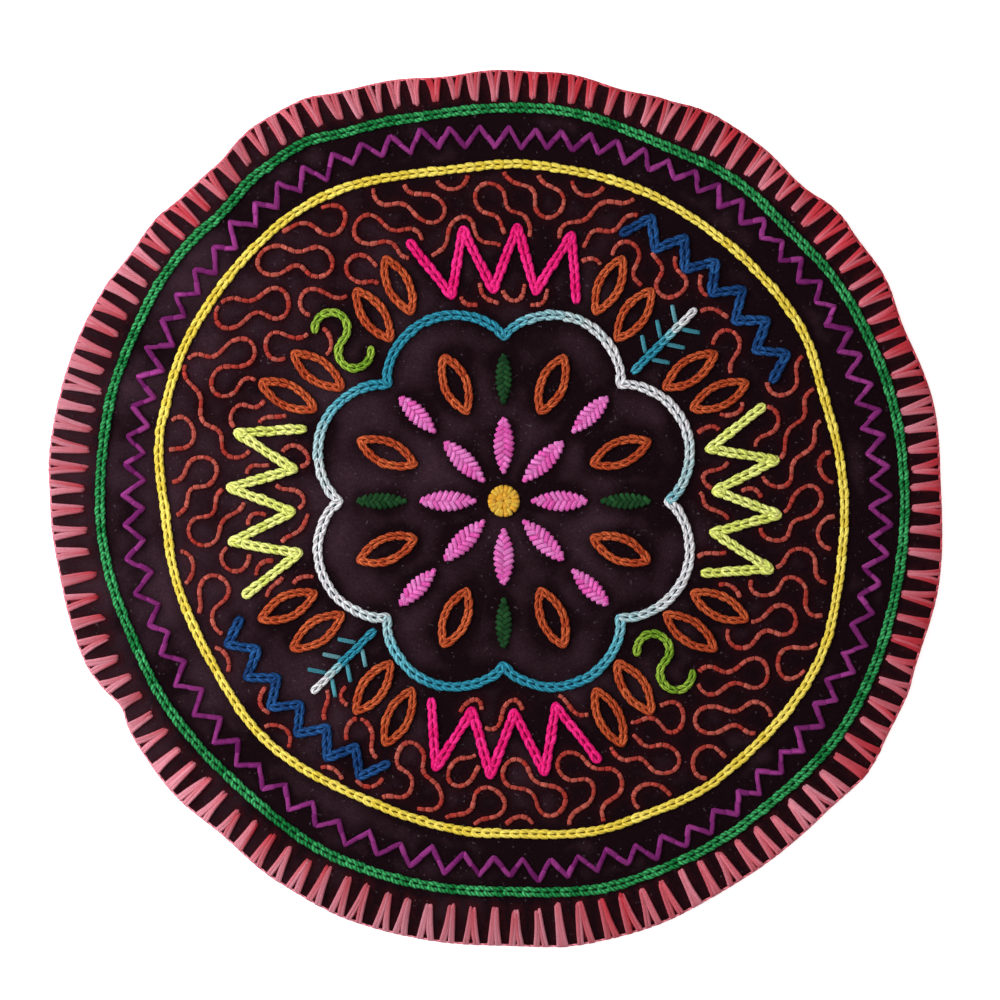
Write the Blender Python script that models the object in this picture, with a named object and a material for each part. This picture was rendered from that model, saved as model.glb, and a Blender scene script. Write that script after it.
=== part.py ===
"""Round embroidered cotton mat, 0.28 m across.

The mat lies on its flat underside, face up, with +Y towards the top of the design. Its rim is cut by eye
and rises in small waves. The embroidery is raised cord and satin, 0.3 mm clear of the cloth.
"""

import math
import random

import bmesh
import bpy
from mathutils import Vector

MM = 0.001

# The cloth.
CLOTH_THICK = 1.5 * MM
FLAT_RADIUS = 108 * MM  # inside this circle the underside lies on the table
RIM_ROWS = 3  # rings of faces from the flat circle to the rim

# Yarn heights and clearances.
YARN_GAP = 0.3 * MM
CHAIN_HEIGHT = 1.2 * MM
SATIN_HEIGHT = 1.1 * MM
STRAND_HEIGHT = 0.9 * MM

# The blanket-stitch edging.
EDGE_GAP = 0.5 * MM
EDGE_YARN = 0.8 * MM
PURL_WIDTH = 1.0 * MM
PURL_LOW = 0.4 * MM
STITCH_FOOT = 2.9 * MM  # width of a pair of legs at the rim
STITCH_TIP = 1.2 * MM
STITCH_UNEVEN = 0.9 * MM
TIP_CLEAR = 0.5 * MM  # from a stitch's inner end to the green ring

# The rings.
GREEN_WIDTH = 2.9 * MM
YELLOW_WIDTH = 3.7 * MM
YELLOW_POINTS = 84
PURPLE_WIDTH = 1.2 * MM
PURPLE_SWING = 6.0 * MM  # from trough to peak
PURPLE_UNEVEN = 0.5 * MM
POINT_CLEAR = 1.8 * MM  # from the middle of a zigzag's point to the ring beside it

# The design in the middle field, as distances from its own centre.
FIELD_CENTRE = Vector((2.8 * MM, 2.2 * MM))
FOLD = 8  # lobes of the outline
HEART_RADIUS = 5.6 * MM
CHAIN_WIDTH = 2.9 * MM
BOLD_WIDTH = 3.5 * MM
LOBE_CUSP = 52 * MM
LOBE_CREST = 62 * MM
LOBE_POINTS = 9  # for each lobe

# Outline of the rim, anticlockwise from +X. Lift is how high the waved rim stands off the table.
RIM = (
    # angle_deg, radius_mm, lift_mm
    (2.5, 141.2, 1.4), (13.5, 142.8, 0.8), (24.0, 141.2, 2.4), (31.0, 143.6, 1.0), (37.0, 142.6, 3.0),
    (40.7, 143.6, 2.2), (46.5, 140.3, 4.0), (54.0, 142.3, 1.2), (61.5, 142.5, 1.0), (67.0, 140.1, 2.4),
    (73.5, 138.0, 3.6), (80.5, 139.5, 1.4), (85.0, 138.5, 2.0), (90.0, 138.7, 1.4), (96.5, 137.1, 3.0),
    (105.0, 139.6, 1.2), (110.0, 140.1, 2.2), (115.0, 143.1, 1.0), (123.0, 143.1, 0.8), (128.5, 139.6, 3.2),
    (135.5, 139.5, 2.8), (139.5, 141.2, 1.8), (145.5, 140.3, 2.8), (150.0, 142.0, 1.4), (158.5, 142.6, 0.8),
    (172.0, 142.3, 1.0), (180.0, 140.7, 2.0), (190.0, 139.3, 1.4), (200.0, 139.1, 0.8), (203.5, 138.0, 0.8),
    (207.0, 133.5, 1.6), (212.0, 135.8, 1.0), (221.5, 136.3, 0.8), (230.0, 134.7, 1.6), (240.0, 136.9, 1.0),
    (250.0, 138.4, 0.8), (262.5, 138.5, 1.0), (270.0, 138.4, 1.2), (281.5, 141.0, 0.8), (292.0, 141.7, 0.8),
    (300.0, 141.0, 1.4), (310.0, 141.7, 1.0), (317.5, 142.2, 1.6), (325.0, 145.0, 0.8), (330.5, 143.3, 1.6),
    (336.5, 143.4, 1.2), (340.0, 141.8, 2.2), (349.5, 142.6, 1.2),
)

# Where the edging stitches end on the cloth.
STITCH_ENDS = (
    # angle_deg, radius_mm
    (0, 132.0), (45, 132.0), (60, 130.1), (92, 129.6), (105, 130.2), (118, 133.0), (125, 133.0), (130, 129.8),
    (150, 131.0), (180, 129.5), (200, 128.0), (210, 126.3), (225, 125.0), (250, 125.7), (275, 127.0),
    (290, 129.0), (310, 130.3), (325, 132.7), (350, 132.0),
)

# Middle lines of the three rings.
GREEN_RING = (
    # angle_deg, radius_mm
    (0, 129.6), (15, 130.2), (30, 129.8), (46, 127.8), (52, 128.6), (67, 126.4), (80, 127.4), (98, 125.8),
    (110, 127.4), (118, 130.4), (125, 129.6), (133, 127.0), (140, 128.0), (160, 126.6), (180, 124.9),
    (205, 121.5), (228, 119.6), (245, 121.5), (270, 121.3), (290, 125.6), (310, 127.4), (328, 130.3),
    (350, 129.5),
)
YELLOW_RING = (
    # angle_deg, radius_mm
    (0, 110.6), (18, 109.8), (30, 112.4), (58, 111.0), (85, 109.2), (97, 107.9), (122, 112.8), (150, 111.0),
    (165, 109.0), (184, 103.9), (210, 102.1), (224, 103.3), (247, 100.9), (270, 102.9), (292, 107.6),
    (310, 111.1), (335, 113.4), (352, 110.8),
)
PURPLE_RING = (
    # angle_deg, radius_mm
    (0, 121.9), (45, 123.1), (90, 117.5), (120, 120.5), (145, 118.5), (180, 114.3), (210, 112.7),
    (262, 112.9), (285, 116.5), (300, 120.7), (330, 121.5),
)

# How closely the hand-made stitches follow each other: how many lie before each angle.
EDGE_STITCHES = (
    # angle_deg, stitches
    (0, 0), (90, 34), (180, 67), (270, 96), (360, 126),
)
PURPLE_ZIGZAGS = (
    # angle_deg, zigzags
    (0, 0), (90, 22), (180, 42), (270, 59), (360, 79),
)

# Filled and outlined shapes of the middle field, repeated round its centre.
SHAPES = (
    # name, count, first_angle_deg, radius_mm, length_mm, width_mm, filled, material
    ("petal", 8, 0, 17.5, 19.0, 7.2, True, "pink satin"),
    ("petal_outer", 4, 45, 38.5, 17.0, 6.6, True, "pink satin"),
    ("leaf_green", 4, 0, 38.5, 17.0, 5.8, True, "dark green yarn"),
    ("leaf_inner", 8, 22.5, 40.0, 21.0, 10.0, False, "rust yarn"),
    ("leaf_left", 4, 55, 72.0, 21.0, 9.6, False, "rust yarn"),
    ("leaf_right", 4, 35, 72.0, 21.0, 9.6, False, "rust yarn"),
    ("leaf_left_outer", 4, 64, 76.0, 21.0, 9.6, False, "rust yarn"),
    ("leaf_right_outer", 4, 26, 76.0, 21.0, 9.6, False, "rust yarn"),
)

# Zigzags that run round the field's centre, with their points on two circles.
BANDS = (
    # name, middle_angle_deg, span_deg, strokes, inner_mm, outer_mm, material
    ("zigzag_neon_1", 0, 40, 7, 67, 87, "neon yarn"),
    ("zigzag_pink_1", 90, 40, 7, 67, 87, "hot pink yarn"),
    ("zigzag_neon_2", 180, 40, 7, 67, 87, "neon yarn"),
    ("zigzag_pink_2", 270, 40, 7, 67, 87, "hot pink yarn"),
    ("zigzag_blue_1", 45, 42, 12, 93, 101, "blue yarn"),
    ("zigzag_blue_2", 225, 42, 12, 91, 98.5, "blue yarn"),
)

# Between the leaves stand two stems and two scrolls.
STEM_ANGLES = (45, 225)
STEM_FIRST = 58 * MM
STEM_LAST = 85 * MM
SCROLL_ANGLES = (135, 315)
SCROLL_RADIUS = 72 * MM
SCROLL_HALF = 5.2 * MM  # radius of each half turn
SCROLL_TURN = 235  # degrees that each half of the S turns
SCROLL_STEPS = 8

COLOURS = {
    # name: (red, green, blue), roughness
    "black cotton": ((0.017, 0.011, 0.014), 0.9),
    "salmon yarn": ((0.60, 0.16, 0.20), 0.7),
    "green yarn": ((0.03, 0.21, 0.08), 0.7),
    "purple yarn": ((0.20, 0.02, 0.14), 0.7),
    "yellow yarn": ((0.78, 0.62, 0.10), 0.75),
    "pink satin": ((0.70, 0.17, 0.44), 0.5),
    "gold satin": ((0.80, 0.42, 0.03), 0.5),
    "rust yarn": ((0.42, 0.09, 0.02), 0.7),
    "dark green yarn": ((0.015, 0.09, 0.02), 0.7),
    "turquoise yarn": ((0.05, 0.33, 0.45), 0.65),
    "neon yarn": ((0.74, 0.78, 0.15), 0.7),
    "hot pink yarn": ((0.78, 0.02, 0.20), 0.7),
    "blue yarn": ((0.01, 0.08, 0.25), 0.7),
    "lime yarn": ((0.20, 0.35, 0.05), 0.7),
}


def clear_scene():
    for thing in list(bpy.data.objects):
        bpy.data.objects.remove(thing, do_unlink=True)


def make_materials():
    made = {}
    for name, (colour, roughness) in COLOURS.items():
        material = bpy.data.materials.new(name)
        material.use_nodes = True
        shader = material.node_tree.nodes["Principled BSDF"]
        shader.inputs["Base Color"].default_value = (*colour, 1)
        shader.inputs["Roughness"].default_value = roughness
        shader.inputs["Metallic"].default_value = 0
        material.diffuse_color = (*colour, 1)
        made[name] = material
    return made


def round_table(rows, angle, column=1):
    """A column of a table at an angle, eased from row to row and on from the last row to the first."""
    angle %= 360
    before = rows[-1]
    start = before[0] - 360
    for row in (*rows, (rows[0][0] + 360, *rows[0][1:])):
        if angle < row[0]:
            share = (angle - start) / (row[0] - start)
            eased = share * share * (3 - 2 * share)
            return before[column] + (row[column] - before[column]) * eased
        before, start = row, row[0]
    return before[column]


def angle_of(rows, number):
    """The angle at which a counting table reaches a number, with straight lines between its rows."""
    for (first, low), (last, high) in zip(rows, rows[1:]):
        if number <= high:
            return first + (last - first) * (number - low) / (high - low)
    return rows[-1][0]


STATIONS = [angle_of(EDGE_STITCHES, number) for number in range(EDGE_STITCHES[-1][1])]


def rim_at(angle):
    """(radius, lift) of the rim, straight between stations so that yarn and cloth have the same facets."""
    angle %= 360
    ends = [*STATIONS, 360 + STATIONS[0]]
    place = max(index for index, station in enumerate(STATIONS) if station <= angle)
    share = (angle - ends[place]) / (ends[place + 1] - ends[place])
    low, high = ends[place], ends[place + 1]
    radius = round_table(RIM, low) * (1 - share) + round_table(RIM, high) * share
    lift = round_table(RIM, low, 2) * (1 - share) + round_table(RIM, high, 2) * share
    return radius * MM, lift * MM


def lift_at(x, y):
    """Height of the cloth's underside: none on the flat middle, then rising as a square to the rim."""
    distance = math.hypot(x, y)
    radius, lift = rim_at(math.degrees(math.atan2(y, x)))
    share = max(0, (distance - FLAT_RADIUS) / (radius - FLAT_RADIUS))
    return lift * min(share, 1) ** 2


def polar(radius, angle):
    turned = math.radians(angle)
    return Vector((radius * math.cos(turned), radius * math.sin(turned)))


def in_field(radius, angle):
    return FIELD_CENTRE + polar(radius, angle)


def finish_mesh(name, mesh, material, collection, smooth_below=35):
    mesh.materials.clear()
    mesh.materials.append(material)
    mesh.shade_smooth()
    mesh.set_sharp_from_angle(angle=math.radians(smooth_below))
    made = bpy.data.objects.new(name, mesh)
    collection.objects.link(made)
    return made


def make_cloth(material, collection):
    """A flat round middle, then rows of faces out to the waved rim, given its thickness upwards."""
    form = bmesh.new()
    bmesh.ops.create_circle(form, cap_ends=True, segments=len(STATIONS), radius=FLAT_RADIUS)
    ring = sorted(form.verts, key=lambda v: math.degrees(math.atan2(v.co.y, v.co.x)) % 360)
    for vertex, angle in zip(ring, STATIONS):
        vertex.co = polar(FLAT_RADIUS, angle).to_3d()
    edges = list(form.edges)
    for row in range(1, RIM_ROWS + 1):
        grown = bmesh.ops.extrude_edge_only(form, edges=edges)["geom"]
        edges = [part for part in grown if isinstance(part, bmesh.types.BMEdge)]
        share = row / RIM_ROWS
        for vertex in (part for part in grown if isinstance(part, bmesh.types.BMVert)):
            angle = math.degrees(math.atan2(vertex.co.y, vertex.co.x)) % 360
            nearest = min(STATIONS, key=lambda station: abs((station - angle + 180) % 360 - 180))
            edge_radius = rim_at(nearest)[0] - PURL_WIDTH - EDGE_GAP
            place = polar(FLAT_RADIUS + (edge_radius - FLAT_RADIUS) * share, nearest)
            vertex.co = (*place, lift_at(*place))
        edges = [edge for edge in edges if len(edge.link_faces) == 1]
    bmesh.ops.recalc_face_normals(form, faces=form.faces)
    if sum(face.normal.z for face in form.faces) > 0:
        bmesh.ops.reverse_faces(form, faces=form.faces)
    underside = list(form.faces)
    upper = bmesh.ops.extrude_face_region(form, geom=underside, use_keep_orig=True)["geom"]
    top_faces = [part for part in upper if isinstance(part, bmesh.types.BMFace)]
    top_points = [part for part in upper if isinstance(part, bmesh.types.BMVert)]
    bmesh.ops.translate(form, verts=top_points, vec=(0, 0, CLOTH_THICK))
    bmesh.ops.recalc_face_normals(form, faces=form.faces)
    print("cloth", len(top_faces), "faces on top")
    mesh = bpy.data.meshes.new("cloth_round")
    form.to_mesh(mesh)
    form.free()
    return finish_mesh("cloth_round", mesh, material, collection)


def grow(form, edges):
    """Extrudes open edges: (each new vertex, the vertex that it came from)."""
    grown = bmesh.ops.extrude_edge_only(form, edges=edges)["geom"]
    fresh = {part for part in grown if isinstance(part, bmesh.types.BMVert)}
    pairs = []
    for vertex in fresh:
        linked = [edge.other_vert(vertex) for edge in vertex.link_edges]
        pairs.append((vertex, next(other for other in linked if other not in fresh)))
    return pairs


def make_edging(material, collection):
    """A purl that wraps the rim, with a tapered pair of legs running in from it at each station."""
    uneven = random.Random(7)
    corners = []
    for station in STATIONS:
        half = math.degrees(STITCH_FOOT / 2 / rim_at(station)[0])
        corners += [(station - half, station), (station + half, station)]
    form = bmesh.new()
    bmesh.ops.create_circle(form, cap_ends=False, segments=len(corners), radius=FLAT_RADIUS)
    outer = sorted(form.verts, key=lambda v: math.degrees(math.atan2(v.co.y, v.co.x)) % 360)
    corner_of = dict(zip(outer, corners))
    for vertex, (angle, _) in corner_of.items():
        vertex.co = polar(rim_at(angle)[0], angle).to_3d()
    inner = {}
    for vertex, source in grow(form, list(form.edges)):
        inner[vertex] = corner_of[source]
        angle = inner[vertex][0]
        vertex.co = polar(rim_at(angle)[0] - PURL_WIDTH, angle).to_3d()
    purl = list(form.faces)
    feet = []
    for edge in form.edges:
        first, last = (inner.get(vertex) for vertex in edge.verts)
        if first and last and first[1] == last[1]:
            feet.append(edge)
    ends = {}
    for station in STATIONS:
        drawn = round_table(STITCH_ENDS, station) * MM + uneven.uniform(-1, 1) * STITCH_UNEVEN
        ends[station] = max(drawn, round_table(GREEN_RING, station) * MM + GREEN_WIDTH / 2 + TIP_CLEAR)
    for vertex, source in grow(form, feet):
        angle, station = inner[source]
        half = math.degrees(STITCH_TIP / 2 / ends[station])
        vertex.co = polar(ends[station], station + math.copysign(half, angle - station)).to_3d()
    for vertex in form.verts:
        vertex.co.z = lift_at(vertex.co.x, vertex.co.y) + CLOTH_THICK + EDGE_GAP
    upper = bmesh.ops.extrude_face_region(form, geom=list(form.faces), use_keep_orig=True)["geom"]
    raised = [part for part in upper if isinstance(part, bmesh.types.BMVert)]
    bmesh.ops.translate(form, verts=raised, vec=(0, 0, EDGE_YARN))
    wrapped = bmesh.ops.extrude_face_region(form, geom=purl)["geom"]
    lowered = [part for part in wrapped if isinstance(part, bmesh.types.BMVert)]
    bmesh.ops.delete(form, geom=purl, context="FACES_ONLY")
    bmesh.ops.translate(form, verts=lowered, vec=(0, 0, PURL_LOW - CLOTH_THICK - EDGE_GAP))
    bmesh.ops.recalc_face_normals(form, faces=form.faces)
    mesh = bpy.data.meshes.new("edging_blanket_stitch")
    form.to_mesh(mesh)
    form.free()
    return finish_mesh("edging_blanket_stitch", mesh, material, collection)


def make_flat(name, outlines, height, material, collection):
    """A raised flat shape from its outlines, laid 0.3 mm above the cloth and following it."""
    curve = bpy.data.curves.new(name, "CURVE")
    curve.dimensions = "2D"
    curve.fill_mode = "BOTH"
    curve.extrude = height / 2
    for outline in outlines:
        spline = curve.splines.new("POLY")
        spline.points.add(len(outline) - 1)
        for point, place in zip(spline.points, outline):
            point.co = (place.x, place.y, 0, 1)
        spline.use_cyclic_u = True
    guide = bpy.data.objects.new(name + "_outline", curve)
    collection.objects.link(guide)
    bpy.context.view_layer.update()
    seen = guide.evaluated_get(bpy.context.evaluated_depsgraph_get())
    mesh = bpy.data.meshes.new_from_object(seen)
    bpy.data.objects.remove(guide, do_unlink=True)
    form = bmesh.new()
    form.from_mesh(mesh)
    bmesh.ops.remove_doubles(form, verts=form.verts, dist=0.01 * MM)
    bmesh.ops.recalc_face_normals(form, faces=form.faces)
    for vertex in form.verts:
        vertex.co.z += height / 2 + CLOTH_THICK + YARN_GAP + lift_at(vertex.co.x, vertex.co.y)
    form.to_mesh(mesh)
    form.free()
    mesh.name = name
    return finish_mesh(name, mesh, material, collection)


def beside(points, distance, closed):
    """The line that runs beside another at a distance, with its corners mitred."""
    line = []
    last = len(points) - 1
    for index, place in enumerate(points):
        before = points[index - 1] if closed or index > 0 else place
        after = points[(index + 1) % len(points)] if closed or index < last else place
        arriving = (place - before).normalized() if before is not place else (after - place).normalized()
        leaving = (after - place).normalized() if after is not place else arriving
        across = (arriving + leaving).orthogonal().normalized()
        stretch = 1 / max(0.5, across.dot(arriving.orthogonal().normalized()))
        line.append(place + across * distance * stretch)
    return line


def make_line(name, points, width, height, closed, material, collection):
    """A raised band of yarn along a line: two edges bridged by a strip, which is then given its height."""
    form = bmesh.new()
    for side in (width / 2, -width / 2):
        row = [form.verts.new(place.to_3d()) for place in beside(points, side, closed)]
        for first, last in zip(row, row[1:] + row[:1] if closed else row[1:]):
            form.edges.new((first, last))
    bmesh.ops.bridge_loops(form, edges=form.edges)
    for vertex in form.verts:
        vertex.co.z = CLOTH_THICK + YARN_GAP + lift_at(vertex.co.x, vertex.co.y)
    upper = bmesh.ops.extrude_face_region(form, geom=list(form.faces), use_keep_orig=True)["geom"]
    raised = [part for part in upper if isinstance(part, bmesh.types.BMVert)]
    bmesh.ops.translate(form, verts=raised, vec=(0, 0, height))
    bmesh.ops.recalc_face_normals(form, faces=form.faces)
    mesh = bpy.data.meshes.new(name)
    form.to_mesh(mesh)
    form.free()
    return finish_mesh(name, mesh, material, collection)


def make_chain_ring(name, rows, angles, width, material, collection):
    line = [polar(round_table(rows, angle) * MM, angle) for angle in angles]
    make_line(name, line, width, CHAIN_HEIGHT, True, material, collection)


def make_purple_ring(material, collection):
    """A zigzag that keeps its points clear of the rings on either side."""
    uneven = random.Random(11)
    swings = []
    for number in range(2 * PURPLE_ZIGZAGS[-1][1]):
        angle = angle_of(PURPLE_ZIGZAGS, number / 2)
        side = PURPLE_SWING / 2 if number % 2 else -PURPLE_SWING / 2
        drawn = round_table(PURPLE_RING, angle) * MM + side + uneven.uniform(-1, 1) * PURPLE_UNEVEN
        outermost = round_table(GREEN_RING, angle) * MM - GREEN_WIDTH / 2 - POINT_CLEAR
        innermost = round_table(YELLOW_RING, angle) * MM + YELLOW_WIDTH / 2 + POINT_CLEAR
        swings.append(polar(min(max(drawn, innermost), outermost), angle))
    make_line("ring_purple_zigzag", swings, PURPLE_WIDTH, STRAND_HEIGHT, True, material, collection)


def pointed_oval(centre, angle, length, width):
    """A shape with two pointed ends and full sides, lying along an angle."""
    steps = 5
    along = polar(1, angle)
    across = along.orthogonal()
    edge = []
    for side in (1, -1):
        for step in range(steps):
            share = step / steps
            reach = centre + along * length * (share - 0.5) * side
            edge.append(reach + across * side * width / 2 * math.sin(math.pi * share) ** 0.8)
    return edge


def make_heart(material, collection):
    form = bmesh.new()
    top_radius = HEART_RADIUS - SATIN_HEIGHT
    sides = {"segments": 16, "radius1": HEART_RADIUS, "radius2": top_radius, "depth": SATIN_HEIGHT}
    bmesh.ops.create_cone(form, cap_ends=True, **sides)
    height = CLOTH_THICK + YARN_GAP + SATIN_HEIGHT / 2
    bmesh.ops.translate(form, verts=form.verts, vec=(*FIELD_CENTRE, height))
    mesh = bpy.data.meshes.new("flower_heart")
    form.to_mesh(mesh)
    form.free()
    return finish_mesh("flower_heart", mesh, material, collection)


def make_shapes(materials, collection):
    for name, count, first_angle, radius, length, width, filled, material in SHAPES:
        for number in range(count):
            spoke = first_angle + 360 / count * number
            centre = in_field(radius * MM, spoke)
            outlines = [pointed_oval(centre, spoke, length * MM, width * MM)]
            if not filled:
                opening = (length * MM - 3 * CHAIN_WIDTH, width * MM - 2 * CHAIN_WIDTH)
                outlines.append(pointed_oval(centre, spoke, *opening))
            height = SATIN_HEIGHT if filled else CHAIN_HEIGHT
            make_flat(f"{name}_{number + 1}", outlines, height, materials[material], collection)


def make_rosette(material, collection):
    line = []
    count = FOLD * LOBE_POINTS
    for number in range(count):
        angle = 360 * number / count
        swell = abs(math.sin(math.radians(FOLD / 2 * angle))) ** 0.75
        line.append(in_field(LOBE_CUSP + (LOBE_CREST - LOBE_CUSP) * swell, angle))
    make_line("rosette_outline", line, BOLD_WIDTH, CHAIN_HEIGHT, True, material, collection)


def make_stems(material, collection):
    for number, spoke in enumerate(STEM_ANGLES):
        line = [in_field(STEM_FIRST, spoke), in_field(STEM_LAST, spoke)]
        make_line(f"stem_{number + 1}", line, CHAIN_WIDTH, CHAIN_HEIGHT, False, material, collection)


def make_bands(materials, collection):
    for name, middle, span, strokes, inner, outer, material in BANDS:
        line = []
        for number in range(strokes + 1):
            reach = outer if number % 2 else inner
            line.append(in_field(reach * MM, middle + span * (number / strokes - 0.5)))
        make_line(name, line, BOLD_WIDTH, CHAIN_HEIGHT, False, materials[material], collection)


def make_scrolls(material, collection):
    for number, spoke in enumerate(SCROLL_ANGLES):
        along = polar(1, spoke)
        across = along.orthogonal()
        centre = in_field(SCROLL_RADIUS, spoke)
        line = []
        for side in (1, -1):
            half = []
            for step in range(SCROLL_STEPS + 1):
                turned = math.radians(-90 - SCROLL_TURN * step / SCROLL_STEPS)
                round_x = SCROLL_HALF * math.cos(turned) * side
                round_y = SCROLL_HALF * (1 + math.sin(turned)) * side
                half.append(centre + along * round_y - across * round_x)
            line = half[::-1] if side == 1 else line + half[1:]
        make_line(f"scroll_{number + 1}", line, CHAIN_WIDTH, CHAIN_HEIGHT, False, material, collection)


def main():
    clear_scene()
    bpy.context.scene.unit_settings.scale_length = 1
    collection = bpy.data.collections.new("Embroidered round mat")
    bpy.context.scene.collection.children.link(collection)
    materials = make_materials()
    make_cloth(materials["black cotton"], collection)
    make_edging(materials["salmon yarn"], collection)
    green, yellow = materials["green yarn"], materials["yellow yarn"]
    make_chain_ring("ring_green_chain", GREEN_RING, STATIONS, GREEN_WIDTH, green, collection)
    even = [360 * index / YELLOW_POINTS for index in range(YELLOW_POINTS)]
    make_chain_ring("ring_yellow_chain", YELLOW_RING, even, YELLOW_WIDTH, yellow, collection)
    make_purple_ring(materials["purple yarn"], collection)
    make_heart(materials["gold satin"], collection)
    make_shapes(materials, collection)
    make_rosette(materials["turquoise yarn"], collection)
    make_stems(materials["turquoise yarn"], collection)
    make_bands(materials, collection)
    make_scrolls(materials["lime yarn"], collection)


main()
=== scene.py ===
# %% [markdown]
# # A round embroidered mat
# The mat is a round of black cotton cloth, about 0.28 m across, with raised yarn on it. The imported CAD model
# holds its plain solids. This lesson dresses them: each solid is replaced by the stitches a hand would sew
# there, laid on a thin cloth whose rim rises in small waves. The rim and the rings are read from the solids,
# so the sewing lies where the solids lie.

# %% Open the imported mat
import math
import random

import bmesh
import bpy
import numpy as np
from mathutils.kdtree import KDTree
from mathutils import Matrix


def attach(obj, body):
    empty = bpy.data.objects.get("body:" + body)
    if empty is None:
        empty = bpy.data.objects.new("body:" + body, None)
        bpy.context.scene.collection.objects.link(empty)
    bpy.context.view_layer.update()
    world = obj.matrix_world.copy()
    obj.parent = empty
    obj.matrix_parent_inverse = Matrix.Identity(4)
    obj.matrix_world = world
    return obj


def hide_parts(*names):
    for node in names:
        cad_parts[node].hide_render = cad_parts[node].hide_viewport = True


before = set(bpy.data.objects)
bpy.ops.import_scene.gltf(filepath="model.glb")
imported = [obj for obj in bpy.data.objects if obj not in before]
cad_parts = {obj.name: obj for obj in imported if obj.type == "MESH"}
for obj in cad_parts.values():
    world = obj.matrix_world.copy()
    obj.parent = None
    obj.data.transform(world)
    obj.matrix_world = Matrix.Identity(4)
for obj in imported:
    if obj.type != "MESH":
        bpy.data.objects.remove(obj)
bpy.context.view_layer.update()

MM = 0.001
print("CAD nodes:", len(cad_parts))

# %% [markdown]
# The solids say where things are. Their corners are turned into angle, distance from the middle and height,
# because every border of the mat runs round its middle. A table that is read this way needs no fitting, and
# follows the solids if they change.

# %% Read a solid's corners round the middle
FULL_TURN = 360  # degrees


def corners_round(node):
    """Each corner of a CAD node once: rows of angle in degrees, distance and height."""
    places = np.array([corner.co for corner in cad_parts[node].data.vertices])
    places = np.unique(np.round(places, 6), axis=0)
    angles = np.degrees(np.arctan2(places[:, 1], places[:, 0])) % FULL_TURN
    return np.column_stack([angles, np.hypot(places[:, 0], places[:, 1]), places[:, 2]])


def local_most(rows, window):
    """The greatest distance from the middle among the rows near each row's angle."""
    apart = np.abs((rows[:, 0, None] - rows[None, :, 0] + FULL_TURN / 2) % FULL_TURN - FULL_TURN / 2)
    return np.where(apart < window, rows[None, :, 1], 0).max(axis=1)


def grouped(rows, gap):
    """Rows that follow each other by less than a gap in angle, group by group round the mat."""
    rows = rows[np.argsort(rows[:, 0])]
    found = np.split(rows, np.flatnonzero(np.diff(rows[:, 0]) > gap) + 1)
    if rows[0, 0] + FULL_TURN - rows[-1, 0] < gap:
        before = found.pop() - (FULL_TURN, 0, 0)
        found[0] = np.vstack([before, found[0]])
    return found


print("corners of the edging:", len(corners_round("edging_blanket_stitch")))

# %% [markdown]
# The edging's solid has its outermost corners on the rim and its innermost ones at the stitches' inner ends.
# The rim gives the cloth its outline and its waves; the inner ends say where each pair of legs points.

# %% The rim and the edging stitches
RIM_WINDOW = 1.6  # degrees
RIM_GAP = 0.1  # degrees between the corners of two groups
STITCH_GAP = 0.9
LEG_SHORTEST = 4 * MM
PURL_LOW = 0.4 * MM  # how high the solid purl starts above the cloth's underside

edging = corners_round("edging_blanket_stitch")
reach = local_most(edging, RIM_WINDOW)
rim_rows = []
for group in grouped(edging[edging[:, 1] > reach - LEG_SHORTEST], RIM_GAP):
    rim_rows.append((group[:, 0].mean(), group[:, 1].max(), group[:, 2].min() - PURL_LOW))
rim_angles, rim_radii, rim_lifts = np.array(rim_rows).T
stitch_ends = []
for group in grouped(edging[edging[:, 1] <= reach - LEG_SHORTEST], STITCH_GAP):
    stitch_ends.append((group[:, 0].mean(), group[:, 1].mean()))
print("rim points:", len(rim_rows), "edging stitches:", len(stitch_ends))


def rim_radius(angle):
    return np.interp(angle, rim_angles, rim_radii, period=FULL_TURN)


def rim_lift(angle):
    return np.interp(angle, rim_angles, rim_lifts, period=FULL_TURN)


# %% [markdown]
# A ring's solid is a band, with corners on its two sides. The line halfway between the sides is the line that
# is sewn. The purple zigzag's corners come in pairs at each of its points instead, and a pair's middle is the
# hole in which two stitches meet.

# %% The middle lines of the rings
RING_WINDOW = 4.5  # degrees
POINT_GAP = 0.6


def ring_middle(node):
    """The middle line of a band round the mat, as a function of the angle."""
    rows = corners_round(node)
    outermost = local_most(rows, RING_WINDOW)
    innermost = -local_most(rows * (1, -1, 1) + (0, 1, 0), RING_WINDOW) + 1
    is_outer = rows[:, 1] > (outermost + innermost) / 2
    outer = rows[is_outer][np.argsort(rows[is_outer][:, 0])]
    inner = rows[~is_outer][np.argsort(rows[~is_outer][:, 0])]

    def middle(angle):
        first = np.interp(angle, outer[:, 0], outer[:, 1], period=FULL_TURN)
        last = np.interp(angle, inner[:, 0], inner[:, 1], period=FULL_TURN)
        return (first + last) / 2

    return middle


green_middle = ring_middle("ring_green_chain")
yellow_middle = ring_middle("ring_yellow_chain")
zigzag_points = []
for group in grouped(corners_round("ring_purple_zigzag"), POINT_GAP):
    zigzag_points.append((group[:, 0].mean(), group[:, 1].mean()))
print("green ring at 0 degrees:", round(float(green_middle(0)) / MM, 1), "mm from the middle")
print("zigzag points:", len(zigzag_points))
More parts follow.
